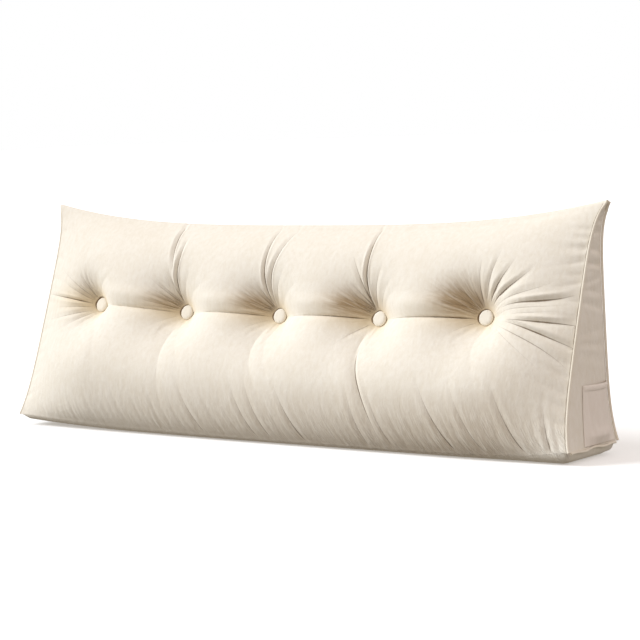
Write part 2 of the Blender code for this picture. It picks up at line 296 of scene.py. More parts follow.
def velvet(name, pale, deep, folded=False):
    """Pile velvet; `folded` adds what is kept on the cover's mesh: painted shade in the pits and low
    down, and creases.
    """
    material, shader, start = new_material(name)
    place = start.node("ShaderNodeTexCoord", output=3)
    clouds = start.noise(place, Scale=9, Detail=4, Roughness=0.6)
    mottle = start.noise(place, Scale=120, Detail=3, Roughness=0.65)
    hairs = start.noise(place, Scale=1800, Detail=2, Roughness=0.7)
    strokes = start.node("ShaderNodeVectorMath", {"operation": "MULTIPLY"}, i0=place, i1=STROKE_SCALE)
    brushed = start.noise(strokes, Scale=1, Detail=3, Roughness=0.6)
    tone = (clouds - 0.5) * CLOUD_TONE + (mottle - 0.5) * MOTTLE_TONE + (brushed - 0.5) * BRUSH_TONE
    colour = start.blend(tone + 0.5, deep, pale)
    relief = hairs * HAIR_RELIEF + mottle * MOTTLE_RELIEF + brushed * BRUSH_RELIEF
    if folded:
        height, strength = fine_pleats(start)
        # Painted shade in the pits and low down, darkest along the pleats
        crushed = attribute(start, "crushed") * (PIT_SHADE_MOST - height * PIT_SHADE_RAYS)
        # Painted shade along the bottoms of the finest pleats and of the creases
        shade = start.maths("MAXIMUM", 1 - height * PLEAT_SHARP, 0.0) * strength * PLEAT_SHADE
        crease_shade = start.maths("MAXIMUM", crease_line_shade(start), shade)
        warm = attribute(start, "warm")
        # Painted shade in pits and crease bottoms, and painted warm light between folds, multiply the
        # colour
        for amount, tint in ((crushed, PIT_SHADE_TONE), (warm, WARM_TONE), (crease_shade, CREASE_SHADE_TONE)):
            colour = start.blend(amount, colour, tint, "MULTIPLY")
        relief = relief + height * strength * PLEAT_RELIEF - crease_shade * LINE_RELIEF
    start.feed(shader.inputs["Base Color"], colour)
    start.feed(shader.inputs["Roughness"], ROUGH_LEAST + mottle * ROUGH_RANGE)
    shader.inputs["Specular IOR Level"].default_value = 0.15
    shader.inputs["Sheen Weight"].default_value = 0.25
    shader.inputs["Sheen Roughness"].default_value = 0.45
    shader.inputs["Sheen Tint"].default_value = (1.0, 0.97, 0.92, 1)
    bump = start.node("ShaderNodeBump", Height=relief, Distance=0.001, Strength=1.0)
    start.feed(shader.inputs["Normal"], bump)
    return material


def fine_pleats(start):
    """Creases too fine for the mesh: rays round the buttons and small gathers at the seam.

    Returns how far a point lies from the bottom of its pleat, and how strong pleats are there."""
    fan = attribute(start, "fan", 1)
    rays = start.noise(fan, Scale=1, Detail=2, Roughness=0.55)
    return start.maths("ABSOLUTE", rays - 0.5), attribute(start, "fan_strength")


def crease_line_shade(start):
    """How deep in the painted shade along a crease's bottom line a point lies, 0 to 1."""
    line = attribute(start, "crease_line", 1)
    aside = start.maths("ABSOLUTE", start.part_of(line, 0))
    depth = (start.part_of(line, 1) - aside / LINE_WIDTH) * LINE_CONTRAST
    return start.maths("MAXIMUM", start.maths("MINIMUM", depth, 1.0), 0.0)


COVER_VELVET = velvet("cover_velvet", (0.85, 0.80, 0.71), (0.80, 0.74, 0.635), folded=True)
BUTTON_VELVET = velvet("button_velvet", (0.88, 0.83, 0.73), (0.83, 0.77, 0.66))
PIPING_VELVET = velvet("piping_velvet", (0.85, 0.79, 0.68), (0.80, 0.73, 0.61))
POCKET_VELVET = velvet("pocket_velvet", (0.88, 0.81, 0.73), (0.84, 0.76, 0.68))
print("materials:", [m.name for m in bpy.data.materials if "velvet" in m.name])

# %% [markdown]
# ## The cover before its folds
#
# The cover is one closed skin. It could be sculpted, but sculpting loses the sizes, so the
# skin is a block that bmesh slices into a fine lattice, and each of its points is then moved
# by the same named sizes that shaped the solid: the sagging upper edge, the drawn-in ends, the
# crown of the front, and the strip that rolls up from the floor to the base seams.
# A share called `up` runs from the base seams to the upper edge, and `back` from the front panel
# to the back one; `x` runs along the pillow.

# %% Sizes shared with the solids
LENGTH = 1.50
HEIGHT = 0.50
DEPTH = 0.18
TOP_FOLD = 0.012
SEAM_LIFT = 0.026
SEAM_DROOP = 0.018     # the front base seam hangs this far lower between its corners
DROOP_POWER = 6
LEFT_DROOP_POWER = 2.2 # towards the plain end it rises again sooner
LEFT_LIFT = 0.012      # the underside of the plain end stands off the floor by this
LEFT_LIFT_FROM = -0.42
LEFT_TILT = 0.5        # and its rounded strip is twice as wide
HALF = LENGTH / 2
TOP_SAG = 0.056
TOP_CROWN = 0.35
SAG_POWER = 3.2
END_DRAW = 0.027
DRAW_LOW = 0.65
EAR_POWER = 12
FOOT_POWER = 10
DRAW_REACH = 6
FRONT_CROWN = 0.060
LOW_CROWN = 0.016      # the filling has settled, so the front is this much fuller low down
LOW_LEVEL = 0.25
LOW_SPREAD = 0.20
BACK_CROWN = 0.014
BACK_DIMPLE = 0.007
BACK_DIMPLE_REACH = 0.045
END_CROWN = 0.010
BASE_ROLL = 0.035
END_ROLL = 0.24
BUTTON_PITCH = 0.268
ROW_MIDDLE = -0.0245
ROW_LEVEL = 0.5725
BUTTON_RADIUS = 0.0165
BUTTON_THICK = 0.009
SEAT_RADIUS = 0.012
SEAT_LEVEL = -0.008
TUFT_REACH = (0.040, 0.056, 0.060, 0.062, 0.062)     # the pits grow towards the pocket end
TUFT_POWER = 1.35
PIT_LEANS = (0.45, 0.55, 0.75, 0.65, 0.30)           # how far each leans towards the plain end
PIT_LEAN_FADE = 0.08
GAP = 0.0003
BUTTON_X = [ROW_MIDDLE + (index - 2) * BUTTON_PITCH for index in range(5)]
RISE = HEIGHT - SEAM_LIFT
SLANT = math.hypot(RISE, DEPTH - TOP_FOLD)
FRONT_NORMAL = np.array((0, -RISE, DEPTH - TOP_FOLD)) / SLANT
MM = 0.001
print("buttons at x:", [round(x, 3) for x in BUTTON_X])


# %% Shape of the filled cover
def mix(low, high, share):
    return low + (high - low) * share


def arch(share, power, root):
    """A flat-topped arch over 0 to 1, zero at both ends."""
    return np.maximum(0, 1 - np.abs(2 * share - 1) ** power) ** root


def top_height(x):
    return HEIGHT - TOP_SAG * (1 - np.abs(x / HALF) ** SAG_POWER)


def end_draw(up):
    up = np.clip(up, 0, 1)
    return END_DRAW * mix(DRAW_LOW, 1, up) * (1 - up ** EAR_POWER) * (1 - (1 - up) ** FOOT_POWER)


def front_plane_y(z):
    return mix(-DEPTH / 2, DEPTH / 2 - TOP_FOLD, (z - SEAM_LIFT) / RISE)


def seam_droop(x):
    """How far the front base seam hangs below its corners."""
    return SEAM_DROOP * (1 - np.abs(x / HALF) ** np.where(x < 0, LEFT_DROOP_POWER, DROOP_POWER))


def left_lift(x):
    share = np.clip((LEFT_LIFT_FROM - x) / (HALF + LEFT_LIFT_FROM), 0, 1)
    return LEFT_LIFT * share ** 1.5


def flat_place(x, back, up):
    """Places of the wedge before it is filled, one row of X, Y, Z for each point."""
    z = mix(SEAM_LIFT, top_height(x), up) - seam_droop(x) * (1 - back) * (1 - up) ** 6
    y = mix(front_plane_y(z), DEPTH / 2, back)
    drawn = end_draw(up) * np.abs(x / HALF) ** DRAW_REACH
    return np.stack((np.sign(x) * (np.abs(x) - drawn), y, z), axis=-1)


def one_place(x, back, up):
    return flat_place(*(np.array((value,)) for value in (x, back, up)))[0]


def end_roll(x):
    share = np.clip((HALF - np.abs(x)) / END_ROLL, 0, 1)
    return share * (1.4 - 0.4 * share ** 2)


def end_crown(y, z):
    up = np.clip((z - SEAM_LIFT) / RISE, 0, 1)
    front = front_plane_y(z)
    back = np.clip((y - front) / (DEPTH / 2 - front), 0, 1)
    return END_CROWN * arch(back, 2, 1) * arch(up, 6, 1) * (1 - up)


def end_surface(y, z):
    return HALF - end_draw((z - SEAM_LIFT) / RISE) + end_crown(y, z)


def back_crown(x, up):
    """The back is full too, with a soft dimple where the twine of each button comes out."""
    full = BACK_CROWN * arch(up, 2, 0.7) * arch((x + HALF) / LENGTH, 6, 0.7)
    for button_x in BUTTON_X:
        away = np.hypot(x - button_x, (up - ROW_LEVEL) * RISE)
        full = full - BACK_DIMPLE * np.exp(-(away / BACK_DIMPLE_REACH) ** 1.5)
    return full


def base_lift(x, back):
    from_end = (HALF - np.abs(x)) * np.where(x < 0, LEFT_TILT, 1)
    inside = np.minimum(np.minimum(back, 1 - back) * DEPTH, from_end)
    share = np.clip(1 - inside / BASE_ROLL, 0, 1)
    rim = SEAM_LIFT - seam_droop(x) * (1 - back)
    return mix(left_lift(x), rim, 1 - np.sqrt(1 - share ** 2))


# %% [markdown]
# ## The row of buttons
#
# Buttons are sewn through to the back, so each one holds a small flat of cloth deep in a pit.
# Between two buttons the cloth is pulled into a crease. The upper roll hangs over it: the
# crease is steep above and easy below, it droops a little midway, and it deepens towards each
# button from the left, as in the photograph.

# %% Pits, rolls and the row crease
ROW_DEPTH = 0.010
ROW_WIDTH = 0.034
ROW_FADE = 0.05
ROW_DROOP = 0.012
CREASE_DEPTH = 0.0085      # the sharp line at the bottom of the row
CREASE_ABOVE = 0.0050      # width of its steep upper side
CREASE_BELOW = 0.007
CREASE_BETWEEN = (0.45, 0.60, 0.85, 1.0)     # strength of its line from one button to the next
ROW_APPEARS, ROW_ENDS = 7, 9     # how fast it starts after a button and stops before the next
ROLL_OVERHANG = 0.007      # the upper roll swells just above the row
ROLL_REACH = 0.030


def between_buttons(x):
    """Share of the way from the button on the left to the one on the right."""
    return ((x - BUTTON_X[0]) / BUTTON_PITCH) % 1


def in_row(x):
    return (x > BUTTON_X[0]) & (x < BUTTON_X[-1])


def row_level(x):
    return ROW_LEVEL - ROW_DROOP * np.sin(np.pi * between_buttons(x)) * in_row(x)


def row_strength(x, least, power, end):
    """Strength between two buttons: from `least` on the left, it grows and stops at `end`."""
    share = between_buttons(x)
    grown = in_row(x) * (least + (1 - least) * share ** power)
    return grown * np.clip(share * ROW_APPEARS, 0, 1) * np.clip((end - share) * ROW_ENDS, 0, 1)


def row_crease(x, up):
    """Depth of the sharp crease along the row, with the swell of the roll above it."""
    above = (up - row_level(x)) * SLANT
    strength = row_strength(x, least=0.25, power=0.8, end=0.96)
    width = np.where(above > 0, CREASE_ABOVE, CREASE_BELOW)
    line = CREASE_DEPTH * np.exp(-np.abs(above) / width)
    swell = ROLL_OVERHANG * np.exp(-((above - ROLL_REACH) / (ROLL_REACH * 0.6)) ** 2)
    return strength * (swell - line)


def rolls(x, up):
    """The crown of the front with its shallow trough along the row."""
    low = LOW_CROWN * np.exp(-((up - LOW_LEVEL) / LOW_SPREAD) ** 2)
    rise = (FRONT_CROWN + low) * arch(up ** 0.85, 2.6, 0.75) * end_roll(x)
    past = np.maximum(0, np.maximum(BUTTON_X[0] - x, x - BUTTON_X[-1]))
    trough = ROW_DEPTH * np.exp(-np.abs(up - row_level(x)) * RISE / ROW_WIDTH)
    return rise - trough * np.exp(-past / ROW_FADE)


def pit_lean(height):
    """Above a button its pit leans towards the plain end, along the main crease."""
    return np.maximum(0, height) * np.exp(-height / PIT_LEAN_FADE)


def sink_pits(rise, x, up):
    """Pull the cloth down to a small flat at each button."""
    height = (up - ROW_LEVEL) * RISE
    for button_x, reach, lean in zip(BUTTON_X, TUFT_REACH, PIT_LEANS):
        away = np.hypot(x - button_x + lean * pit_lean(height), height)
        pull = np.exp(-(np.maximum(0, away - SEAT_RADIUS) / reach) ** TUFT_POWER)
        rise = mix(rise, SEAT_LEVEL, pull)
    return rise


# %% [markdown]
# ## Creases that fan out of the buttons
#
# Each crease was followed in the photograph and written down as a maker would chalk it: the
# direction in which it leaves its button, the directions it passes through half way and at its
# end, and its start and reach. A fold on a filled cushion is a narrow valley between two
# slightly raised shoulders, often steeper on one side. Directions are degrees, anticlockwise
# from straight right as seen from the front; the other columns are millimetres.

# %% Table of creases from the buttons
DEEPEST = 0.16       # share of its length at which a crease is deepest, unless its row has its own
CREASE_COLUMNS = ("button", "leaves", "passes", "ends", "start", "reach", "depth", "after",
                  "before", "deepest")
CREASES = (
    # first button: a fan towards the plain end
    (0, 142, 121, 118, 20, 119, 2.4, 3.0, 2.4), (0, 141, 132, 131, 20, 113, 3.0, 3.0, 2.4),
    (0, 151, 153, 156, 20, 169, 3.0, 3.2, 2.6), (0, 163, 163, 162, 20, 143, 2.7, 3.0, 2.6),
    (0, 182, 180, 180, 20, 213, 5.1, 3.2, 2.4), (0, 202, 195, 191, 20, 162, 2.4, 3.4, 3.4),
    (0, 224, 207, 199, 20, 201, 2.7, 3.0, 3.4), (0, 240, 229, 218, 20, 147, 2.7, 3.0, 3.4),
    (0, 256, 250, 235, 20, 129, 1.5, 3.0, 3.0), (0, 92, 56, 64, 20, 127, 1.5, 4.0, 4.0),
    (0, 308, 298, 288, 49, 250, 1.6, 12.0, 13.0), (0, 30, 26, 24, 22, 90, 1.2, 4.0, 4.0),
    # second button
    (1, 118, 100, 95, 17, 200, 8.5, 2.6, 2.2, 0.35), (1, 107, 103, 99, 96, 330, 4.2, 3.6, 2.4, 0.35),
    (1, 116, 115, 112, 24, 130, 3.9, 5.0, 3.0), (1, 123, 134, 133, 20, 124, 3.0, 2.8, 2.4),
    (1, 131, 139, 141, 20, 131, 3.3, 2.8, 2.4), (1, 139, 149, 150, 20, 123, 3.0, 2.8, 2.6),
    (1, 149, 156, 160, 20, 109, 3.0, 2.8, 2.8), (1, 162, 170, 171, 20, 124, 3.3, 3.0, 2.6),
    (1, 169, 178, 179, 20, 130, 2.1, 2.8, 2.6), (1, 97, 80, 81, 20, 136, 1.8, 4.0, 4.0),
    (1, 61, 47, 49, 20, 149, 1.2, 5.0, 5.0), (1, 259, 271, 272, 20, 290, 4.6, 11.0, 15.0),
    (1, 278, 293, 285, 26, 290, 1.2, 8.0, 8.0), (1, 205, 214, 220, 20, 100, 1.5, 5.0, 5.0),
    # third button
    (2, 125, 105, 99, 17, 268, 5.5, 2.6, 2.2, 0.3), (2, 115, 92, 85, 17, 268, 4.4, 3.6, 2.2, 0.3),
    (2, 128, 127, 125, 22, 108, 3.9, 2.6, 2.4), (2, 135, 135, 137, 22, 107, 3.6, 2.6, 2.4),
    (2, 141, 149, 149, 20, 115, 3.3, 2.8, 2.8), (2, 148, 159, 164, 20, 112, 3.0, 2.8, 2.8),
    (2, 158, 168, 174, 20, 105, 2.7, 2.8, 2.6), (2, 100, 83, 79, 22, 145, 2.1, 5.0, 4.0),
    (2, 64, 52, 46, 20, 130, 1.2, 5.0, 5.0), (2, 237, 270, 285, 20, 290, 4.4, 11.0, 15.0),
    (2, 267, 286, 286, 28, 290, 1.8, 8.0, 9.0), (2, 204, 212, 216, 20, 110, 1.5, 5.0, 5.0),
    # fourth button
    (3, 120, 101, 99, 17, 268, 7.5, 2.6, 2.2, 0.3), (3, 119, 115, 116, 22, 173, 5.1, 3.2, 2.4),
    (3, 120, 127, 130, 22, 110, 4.2, 3.0, 2.4), (3, 126, 135, 141, 20, 96, 3.9, 2.8, 2.4),
    (3, 129, 148, 154, 20, 102, 3.6, 2.8, 2.6), (3, 141, 159, 166, 20, 98, 3.0, 3.0, 2.6),
    (3, 105, 88, 85, 22, 144, 3.3, 5.0, 3.4), (3, 78, 67, 63, 22, 121, 2.1, 5.0, 4.0),
    (3, 60, 50, 44, 20, 110, 1.2, 5.0, 5.0), (3, 240, 277, 281, 20, 290, 5.2, 10.0, 15.0),
    (3, 262, 279, 284, 70, 330, 5.5, 3.4, 8.0, 0.45),
    (3, 218, 226, 231, 22, 117, 2.7, 4.0, 6.0), (3, 250, 272, 286, 30, 270, 1.8, 8.0, 8.0),
    # fifth button: shorter folds above, long ones out to the pocket end
    (4, 105, 96, 93, 20, 136, 4.2, 5.0, 3.0), (4, 115, 112, 111, 20, 97, 3.6, 3.4, 2.8),
    (4, 124, 131, 135, 20, 111, 3.3, 3.0, 2.6), (4, 132, 145, 154, 20, 116, 3.0, 3.0, 2.8),
    (4, 139, 160, 168, 20, 127, 3.0, 3.0, 2.8), (4, 85, 77, 76, 24, 164, 3.0, 3.0, 5.0, 0.4),
    (4, 70, 59, 58, 26, 148, 6.0, 3.0, 6.0, 0.3), (4, 54, 39, 39, 26, 167, 7.5, 3.0, 6.5, 0.32),
    (4, 36, 21, 19, 26, 204, 2.6, 5.0, 8.0, 0.45), (4, 17, 8, 7, 50, 240, 7.5, 3.4, 7.5, 0.62),
    (4, 8, 3, 2, 30, 253, 2.0, 5.0, 7.0, 0.4), (4, -3, -2, -2, 64, 226, 1.6, 4.4, 6.0, 0.4),
    (4, -12, -9, -9, 69, 275, 6.5, 3.4, 7.5, 0.55), (4, -15, -18, -19, 68, 287, 8.0, 3.4, 7.0, 0.45),
    (4, -28, -26, -30, 40, 292, 3.6, 5.0, 8.0, 0.5), (4, -36, -36, -38, 46, 289, 1.6, 6.0, 5.0),
    (4, 262, 282, 284, 22, 250, 2.6, 11.0, 14.0), (4, 208, 214, 220, 20, 100, 2.1, 5.0, 5.0),
)

# %% Shape of one crease
RIDGED_UNDER = 7     # creases narrower than this (mm) stand between two small ridges
RIDGE_HIGH, RIDGE_LOW = 0.30, 0.05    # height of the shoulders, as shares of the depth
RIDGE_PLACE, RIDGE_SPREAD = 2.3, 0.9  # and where they stand, in widths of that side
WIDENING = 0.6       # a crease is this much wider at its end


def crease_profile(aside, after, before):
    """A valley with a sharp bottom and two raised shoulders; each side has its own width."""
    width = np.where(aside > 0, after, before)
    distance = np.abs(aside) / width
    ridge = np.where(width < RIDGED_UNDER * MM, RIDGE_HIGH, RIDGE_LOW)
    return np.exp(-distance) - ridge * np.exp(-((distance - RIDGE_PLACE) / RIDGE_SPREAD) ** 2)


def swell_and_fade(way, deepest):
    """Strength along a crease: up to its deepest place, then slowly away to its end."""
    inside = (way > 0) & (way < 1)
    way = np.clip(way, 0, 1)
    past = np.maximum(0, way - deepest + DEEPEST) / (1 - deepest + DEEPEST)
    fade = 0.8 * (1 - past ** 1.2) ** 1.8 + 0.2 * (1 - past)
    return inside * np.minimum(1, way / deepest) * fade


# %% Sum of the creases
def rows_of(columns, table):
    """The rows of a table as dictionaries; short rows leave out the last columns."""
    return [dict(zip(columns, values)) for values in table]


def button_creases(x, up, lines=None):
    """Sum of all creases that leave the buttons, in metres, negative inwards.

    `lines`, where it is given, collects for each point the distance to the strongest crease
    near it and that crease's strength, so that the material can draw its bottom crisply."""
    total = np.zeros_like(x)
    for row in rows_of(CREASE_COLUMNS, CREASES):
        across = x - BUTTON_X[row["button"]]
        height = (up - ROW_LEVEL) * SLANT
        near = np.flatnonzero(np.hypot(across, height) < row["reach"] * MM)
        across, height = across[near], height[near]
        away = np.hypot(across, height)
        way = (away / MM - row["start"]) / (row["reach"] - row["start"])
        bend = row["leaves"] + row["ends"] - 2 * row["passes"]
        straight = row["ends"] - row["leaves"] - 2 * bend
        heading = np.radians(row["leaves"] + straight * way + 2 * bend * way ** 2)
        turn = np.arctan2(height, across) - heading
        aside = away * np.sin(turn)
        wider = (1 + WIDENING * np.clip(way, 0, 1)) * MM
        strength = swell_and_fade(way, row.get("deepest", DEEPEST)) * (np.cos(turn) > 0)
        profile = crease_profile(aside, row["after"] * wider, row["before"] * wider)
        total[near] -= row["depth"] * MM * profile * strength
        if lines is not None and row["after"] < RIDGED_UNDER:
            clear = strength ** LINE_EVENNESS * min(1, row["depth"] / LINE_FULL)
            keep_line(lines, near, aside / MM, clear)
    return total


# %% [markdown]
# ## The crisp bottom of a crease, in painted shade
#
# The deepest line of a fold is thinner than the mesh can show. Each point of the mesh therefore
# remembers how far it is, to the left or the right, from the strongest crease near it. Between
# points that distance changes evenly, so the material can find the zero exactly and paint a fine
# line of shade there.

# %% Distance to the nearest crease
LINE_FULL = 6.0      # a crease this deep (mm) has a full dark line
LINE_REACH = 5.0     # mm to either side within which a crease counts as near
LINE_EVENNESS = 0.7  # below 1 a line stays clear for longer than its crease stays deep


def keep_line(lines, near, aside, strength):
    """Keep this crease where it is the strongest one so far."""
    weight = strength * np.exp(-(aside / LINE_REACH) ** 2)
    stronger = weight > lines["weight"][near]
    chosen = near[stronger]
    lines["weight"][chosen] = weight[stronger]
    lines["aside"][chosen] = aside[stronger]


print("creases from the buttons:", len(CREASES))

# %% [markdown]
# ## Gathers at the seams
#
# Where a full panel is sewn to a shorter edge the maker eases the spare cloth in, and it stands
# in small slanting folds. They are strong along the bottom of the front and slight at the end
# seams. The strong ones are listed one by one; the many faint ones between them come from a seeded
# loop, so they are uneven in the same way on every run.

# %% Tables of gathers
GATHER_COLUMNS = ("seam_x", "lean", "reach", "depth", "width", "steep")
BOTTOM_GATHERS = (
    (-658, -24, 60, 1.4, 3.4, 0), (-604, -20, 50, 1.1, 3.4, 0), (-550, -26, 75, 1.5, 3.6, 0),
    (-483, -36, 80, 1.8, 3.6, 0), (-430, -40, 80, 1.5, 4.0, 0), (-380, -58, 110, 2.2, 4.0, 0),
    (-325, -50, 90, 1.7, 4.0, 0), (-273, -48, 100, 2.5, 4.4, 0), (-210, -52, 90, 2.0, 4.0, 0),
    (-157, -80, 125, 3.6, 4.4, 0.2), (-97, -66, 100, 2.5, 4.4, 0), (-50, -60, 80, 2.0, 4.0, 0),
    (-10, -72, 125, 3.6, 4.4, 0.2), (27, -70, 130, 3.6, 4.4, 0.2), (75, -62, 90, 2.2, 4.0, 0),
    (122, -78, 115, 5.6, 4.2, 0.3), (168, -54, 80, 2.2, 4.0, 0), (225, -52, 80, 2.1, 4.0, 0),
    (283, -50, 120, 3.9, 4.6, 0.2), (350, -68, 130, 3.4, 4.6, 0.2), (393, -60, 90, 2.7, 4.2, 0),
    (430, -54, 90, 2.5, 4.0, 0), (470, -56, 80, 2.5, 4.0, 0), (508, -96, 135, 5.6, 4.2, 0.3),
    (545, -60, 80, 2.5, 4.0, 0), (575, -84, 130, 3.6, 4.6, 0.2), (622, -64, 80, 2.5, 4.0, 0),
    (667, -84, 140, 5.6, 4.4, 0.3), (700, -30, 80, 2.5, 3.6, 0), (715, -18, 105, 5.3, 3.6, 0.3),
    (735, -14, 70, 2.8, 3.2, 0),
)
SIDE_COLUMNS = ("end", "height", "drift", "reach", "depth", "width")
SIDE_GATHERS = (
    (1, 446, 14, 60, 2.2, 5), (1, 430, 10, 50, 2.0, 5), (1, 408, 12, 70, 3.2, 6),
    (1, 384, -4, 70, 2.6, 7), (1, 356, 4, 60, 2.4, 7), (1, 340, -6, 70, 2.4, 7),
    (1, 300, 6, 50, 1.8, 6), (1, 262, 8, 60, 2.2, 6), (1, 205, 22, 70, 2.6, 7),
    (1, 172, 30, 90, 3.0, 8), (1, 146, 36, 90, 3.0, 8), (1, 112, 32, 80, 2.4, 7),
    (1, 84, 26, 60, 2.0, 6), (1, 52, 16, 50, 2.0, 6),
    (-1, 440, 10, 50, 1.6, 6), (-1, 380, -6, 60, 1.8, 6), (-1, 330, -6, 60, 1.8, 6),
    (-1, 270, 0, 60, 1.6, 6), (-1, 200, 10, 60, 1.8, 6), (-1, 140, 14, 60, 1.8, 6),
    (-1, 90, 14, 50, 1.8, 6), (-1, 45, 10, 40, 1.8, 6),
)
GATHERS_UNDER = 0.17  # no gather rises higher than this up the front
GATHER_BOW = 0.62     # below 1 a gather leaves the seam at a slant and then straightens
GATHER_TILT = 0.86    # distance square to a leaning gather, as a share of that along the seam
EASED_SEED = 7
EASED_STEP = 13.0     # mm between the faint gathers
EASED_FROM, EASED_TO = -735.0, 735.0
EASED_LEAST = 0.6     # at the plain end they have this share of their fullness


def gather_strength(way, fade, slope, least):
    """Strength along a gather: from `least` at the seam it swells quickly, then fades."""
    return np.exp(-(way * fade) ** 2) * np.clip(way * slope + least, 0, 1)


def gather_line(x, up, row):
    """Distance in mm from a gather that rises from the bottom seam, and its strength."""
    way = up * SLANT / MM / row["reach"]
    line = row["seam_x"] + row["lean"] * np.clip(way, 0, 1) ** GATHER_BOW
    return (x / MM - line) * GATHER_TILT, gather_strength(way, 1.6, 9, 0.15)


def one_gather(x, up, row):
    aside, strength = gather_line(x, up, row)
    widths = row["width"] * (1 + row["steep"]) * MM, row["width"] * MM
    return -row["depth"] * MM * crease_profile(aside * MM, *widths) * strength


def eased_rows():
    """The faint gathers; they grow fuller towards the pocket end."""
    chance = np.random.default_rng(EASED_SEED)
    place = EASED_FROM
    while place < EASED_TO:
        full = mix(EASED_LEAST, 1.0, (place - EASED_FROM) / (EASED_TO - EASED_FROM))
        yield dict(seam_x=place, lean=-chance.uniform(20, 46) * full, reach=chance.uniform(35, 70),
                   depth=chance.uniform(0.6, 2.0) * full, width=chance.uniform(2.8, 3.8), steep=0)
        place += EASED_STEP * chance.uniform(0.6, 1.5)


def bottom_gathers(x, up):
    total = np.zeros_like(x)
    low = np.flatnonzero(up * SLANT < GATHERS_UNDER)
    for row in (*rows_of(GATHER_COLUMNS, BOTTOM_GATHERS), *eased_rows()):
        total[low] += one_gather(x[low], up[low], row)
    return total


def side_gathers(x, up):
    total = np.zeros_like(x)
    height = up * SLANT / MM
    for row in rows_of(SIDE_COLUMNS, SIDE_GATHERS):
        way = (HALF - row["end"] * x) / MM / row["reach"]
        line = row["height"] + row["drift"] * np.clip(way, 0, 1)
        profile = crease_profile((height - line) * MM, row["width"] * MM, row["width"] * MM)
        total -= row["depth"] * MM * profile * gather_strength(way, 1.3, 8, 0.1)
    return total


print("gathers placed by hand:", len(BOTTOM_GATHERS) + len(SIDE_GATHERS))


# %% Height of the front above the plane through its seams
CREASES_IN_PITS = 0.65     # share of their depth that creases keep on the walls of the pits
SEAM_POWER = 40            # how sharply the filling rises from the bottom and top seams
END_RISE = BASE_ROLL / 8   # and it rises over this distance from the end seams


def front_rise(x, up):
    creases = button_creases(x, up)
    rise = sink_pits(rolls(x, up) + row_crease(x, up) + creases, x, up)
    rise = rise + bottom_gathers(x, up) + side_gathers(x, up)
    seams = np.minimum(1, (HALF - np.abs(x)) / END_RISE)
    full = arch(up, SEAM_POWER, 1)
    notches = (1 - CREASES_IN_PITS) * creases * (1 - full) * (up > 0.5)    # over the upper edge
    return (rise * full + CREASES_IN_PITS * creases + notches) * seams


# %% [markdown]
# ## Letting the cloth settle
#
# So far every fold was bent alone, but real cloth shares its strain between them. A coarser copy
# of the front panel, with its rolls and pits but without its narrow creases, is pinned at the
# seams and the buttons, given a little spare cloth, and pressed out by the filling while the
# cloth solver runs. How far each point moved is capped, and later added to the fine skin.

# %% Settle the front panel
SETTLE_CELLS = (250, 80)
SPARE_CLOTH = 1.03         # the panel is cut this much larger than its place
SETTLE_FRAMES = 30
SETTLE_CAP = 0.006
SETTLE_SHARE = 0.6
VELVET_CLOTH = dict(
    quality=5, mass=0.3, use_pressure=True, uniform_pressure_force=4.0,
    tension_stiffness=30, compression_stiffness=30, shear_stiffness=5, bending_stiffness=0.01,
    tension_damping=5, compression_damping=5, shear_damping=5, bending_damping=0.5, air_damping=5,
)


def mesh_places(mesh):
    places = np.zeros(len(mesh.vertices) * 3, np.float32)
    mesh.vertices.foreach_get("co", places)
    return places.reshape(-1, 3).astype(float)


def set_places(mesh, places):
    mesh.vertices.foreach_set("co", places.astype(np.float32).ravel())
    mesh.update()


def smooth_rise(x, up, sewn=True):
    rise = rolls(x, up)
    return (sink_pits(rise, x, up) if sewn else rise) * arch(up, SEAM_POWER, 1)


def front_places(x, up, rise):
    return flat_place(x, np.zeros_like(x), up) + FRONT_NORMAL * rise[:, None]


def cloth_panel(x, up):
    """The coarse panel with its resting size as a shape key, and its pins."""
    bm = bmesh.new()
    bmesh.ops.create_grid(bm, x_segments=SETTLE_CELLS[0], y_segments=SETTLE_CELLS[1], size=0.5)
    panel = link("front_panel", to_mesh(bm, "front_panel"))
    start = front_places(x, up, smooth_rise(x, up))
    rest = front_places(x, up, smooth_rise(x, up, sewn=False)) * (SPARE_CLOTH, 1, SPARE_CLOTH)
    set_places(panel.data, start)
    panel.shape_key_add(name="Basis")
    key = panel.shape_key_add(name="rest")
    key.data.foreach_set("co", rest.astype(np.float32).ravel())
    key.value = 0
    sewn = (np.abs(x) > HALF - 1e-5) | (up < 1e-5) | (up > 1 - 1e-5)
    for button_x in BUTTON_X:
        sewn |= np.hypot(x - button_x, (up - ROW_LEVEL) * RISE) < BUTTON_RADIUS
    panel.vertex_groups.new(name="sewn").add(np.flatnonzero(sewn).tolist(), 1.0, "REPLACE")
    return panel, start, key


# %% Run the cloth
def run_cloth(panel, key):
    solver = panel.modifiers.new("cloth", "CLOTH")
    cloth = solver.settings
    cloth.vertex_group_mass = "sewn"
    cloth.rest_shape_key = key
    for name, value in VELVET_CLOTH.items():
        setattr(cloth, name, value)
    cloth.effector_weights.gravity = 0
    solver.collision_settings.use_collision = False
    solver.point_cache.frame_start = 1
    solver.point_cache.frame_end = SETTLE_FRAMES
    for frame_number in range(1, SETTLE_FRAMES + 1):
        bpy.context.scene.frame_set(frame_number)
    evaluated = panel.evaluated_get(bpy.context.evaluated_depsgraph_get())
    places = mesh_places(evaluated.to_mesh())
    evaluated.to_mesh_clear()
    bpy.context.scene.frame_set(1)
    return places


